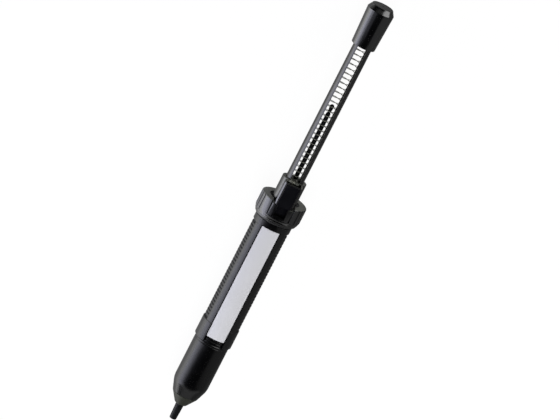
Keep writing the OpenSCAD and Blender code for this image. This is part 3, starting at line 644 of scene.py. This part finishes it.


# node, mean radius, wire, pitch, end turns and sides
wound_along("return_spring", 4.2, 0.5, 3.72, end_turns=1.3, sides=10)
wound_along("main_spring", 8.6, 1.5, 7.4, end_turns=1.2, sides=12)
wound_across("trigger_spring", 1.9, 0.45, 1.25, end_turns=0.8, sides=8)

# ---- pieces carried over, with the width by which their edges are eased ----

EASE = {
    "nozzle": 0.12,
    "nose_cone": 0.15,
    "barrel": 0.12,
    "grip_sleeve": 0.12,
    "label_plate": 0.12,
    "collar_cap": 0.2,
    "snap_ring": 0.12,
    "neck_housing": 0.16,
    "spring_bridge": 0.16,
    "bridge_screw": 0.08,
    "loading_tube": 0.2,
    "knob": 0.25,
    "knob_insert": 0.1,
    "trigger_button": 0.18,
    "latch_plate": 0.08,
}
for name, width in EASE.items():
    eased(name, width)

# ---- floor, world and lamps ----

FLOOR_HALF_M = 4.0
SHEET = "#f4f4f4"
SEEN_LEVEL = 1.03  # the floor as the camera sees it
SEEN_SHARE = 0.92  # how much of that is its own white; the rest takes the tool's shadow
GLOSS_LEFT = 2.4  # the floor's painted glow in gloss, far to the tool's left
GLOSS_RIGHT = 0.15  # and to its right
FADE_LEFT = 75.0
FADE_RIGHT = 8.0
FADE_CURVE = 2.0
GLOSS_BEYOND = 0.1  # what is kept of it beyond the knob
FADE_BEYOND = 25.0
ROOM_LEVEL = 0.005
COOL = (0.94, 0.95, 1.11)


def stage_floor():
    """A white sheet under the tool. The camera sees it white, with a light shadow. In gloss it
    glows with painted light, graded from bright on the tool's left to dark on its right and beyond
    its knob. This is a painted reflection of a floor lit from the left and shaded by the tool."""
    mesh = bpy.data.meshes.new("floor")
    corners = [(-1, -1), (1, -1), (1, 1), (-1, 1)]
    mesh.from_pydata(
        [(x * FLOOR_HALF_M, y * FLOOR_HALF_M, 0) for x, y in corners], [], [(0, 1, 2, 3)]
    )
    floor = place(mesh, "floor")
    made = bpy.data.materials.new("white sheet")
    made.use_nodes = True
    tree = made.node_tree
    tree.nodes.clear()
    ray = add(tree, "ShaderNodeLightPath").outputs
    where = add(tree, "ShaderNodeTexCoord").outputs["Object"]
    spot = add(tree, "ShaderNodeSeparateXYZ", {"Vector": where}).outputs
    share = add(
        tree,
        "ShaderNodeMapRange",
        {"Value": spot["Y"], "From Min": -FADE_RIGHT * MM, "From Max": FADE_LEFT * MM},
    ).outputs["Result"]
    curved = add(
        tree, "ShaderNodeMath", {0: share, 1: FADE_CURVE}, operation="POWER"
    ).outputs[0]
    beside = add(
        tree,
        "ShaderNodeMapRange",
        {
            "Value": spot["X"],
            "From Min": cad_high[0],
            "From Max": cad_high[0] + FADE_BEYOND * MM,
            "To Min": 1.0,
            "To Max": GLOSS_BEYOND,
        },
    ).outputs["Result"]
    kept = add(tree, "ShaderNodeMath", {0: curved, 1: beside}, operation="MULTIPLY").outputs[0]
    # painted light: the floor's glow for glossy rays, graded across the floor
    painted_gloss_glow = add(
        tree, "ShaderNodeMapRange", {"Value": kept, "To Min": GLOSS_RIGHT, "To Max": GLOSS_LEFT}
    ).outputs["Result"]
    level = add(
        tree,
        "ShaderNodeMix",
        {"Factor": ray["Is Camera Ray"], "A": painted_gloss_glow, "B": SEEN_LEVEL},
        data_type="FLOAT",
    ).outputs["Result"]
    seen = add(
        tree, "ShaderNodeMath", {0: ray["Is Camera Ray"], 1: SEEN_SHARE}, operation="MULTIPLY"
    ).outputs[0]
    for path in ("Is Glossy Ray", "Is Transmission Ray"):
        seen = add(
            tree, "ShaderNodeMath", {0: seen, 1: ray[path]}, operation="MAXIMUM"
        ).outputs[0]
    sheet = add(tree, "ShaderNodeBsdfDiffuse", {"Color": linear(SHEET)})
    glow = add(tree, "ShaderNodeEmission", {"Color": (1, 1, 1, 1), "Strength": level})
    mixed = add(
        tree, "ShaderNodeMixShader", {0: seen, 1: sheet.outputs[0], 2: glow.outputs[0]}
    )
    add(tree, "ShaderNodeOutputMaterial", {"Surface": mixed.outputs[0]})
    mesh.materials.append(made)


def stage_world():
    """Even, weak room light; the camera itself sees white."""
    world = bpy.data.worlds.new("room")
    bpy.context.scene.world = world
    world.use_nodes = True
    tree = world.node_tree
    tree.nodes.clear()
    ray = add(tree, "ShaderNodeLightPath").outputs
    level = add(
        tree, "ShaderNodeMapRange", {"Value": ray["Is Camera Ray"], "To Min": ROOM_LEVEL}
    ).outputs["Result"]
    light = add(tree, "ShaderNodeBackground", {"Color": (1, 1, 1, 1), "Strength": level})
    add(tree, "ShaderNodeOutputWorld", {"Surface": light.outputs[0]})


def lamp(name, angle, tilt, distance, wide, long, radiance, colour=(1, 1, 1)):
    """A soft box that faces the tool's middle. The angle goes round the tool from its front,
    positive to its right; the tilt is towards the knob's end. One side of the box is in line
    with the tool. Its radiance is given as a level, where 1 is white."""
    data = bpy.data.lights.new(name, "AREA")
    data.shape = "RECTANGLE"
    data.size = wide * MM
    data.size_y = long * MM
    data.energy = radiance * math.pi * data.size * data.size_y
    data.color = colour
    made = bpy.data.objects.new(name, data)
    bpy.context.scene.collection.objects.link(made)
    angle, tilt = math.radians(angle), math.radians(tilt)
    toward = Vector(
        (
            math.sin(angle) * math.cos(tilt),
            -math.cos(angle) * math.cos(tilt),
            math.sin(tilt),
        )
    )
    upward = (Vector((0, 0, 1)) - toward * toward.z).normalized()
    spot = LAY @ (Vector((0, 0, LENGTH / 2)) + toward * distance)
    turn = Matrix((LAY_TURN @ upward.cross(toward), LAY_TURN @ upward, LAY_TURN @ toward))
    made.matrix_world = Matrix.Translation(spot) @ turn.transposed().to_4x4()
    return made


stage_floor()
stage_world()

# name, angle, tilt, distance, width, length, radiance and colour
lamp("left wall, low", -80.5, -16.5, 750, 305, 900, 2.8, COOL)
lamp("left wall, middle", -61.5, -16.5, 750, 198, 900, 1.3, COOL)
lamp("left wall, high", -49, -16.5, 750, 131, 900, 0.32, COOL)
lamp("left wall, knob end", -34, -5, 750, 290, 250, 0.25, COOL)
lamp("right wall", 62, -12, 750, 800, 500, 0.21)
lamp("key", 66, 42, 900, 760, 600, 2.9)
lamp("knob end wall", 0, 75, 900, 1000, 1000, 0.16)
lamp("nozzle end box", 10, -64, 700, 1750, 230, 0.6)
fill = lamp("fill", 6, -22, 900, 600, 600, 4.5)
fill.visible_glossy = False

bpy.context.scene.view_settings.view_transform = "Standard"
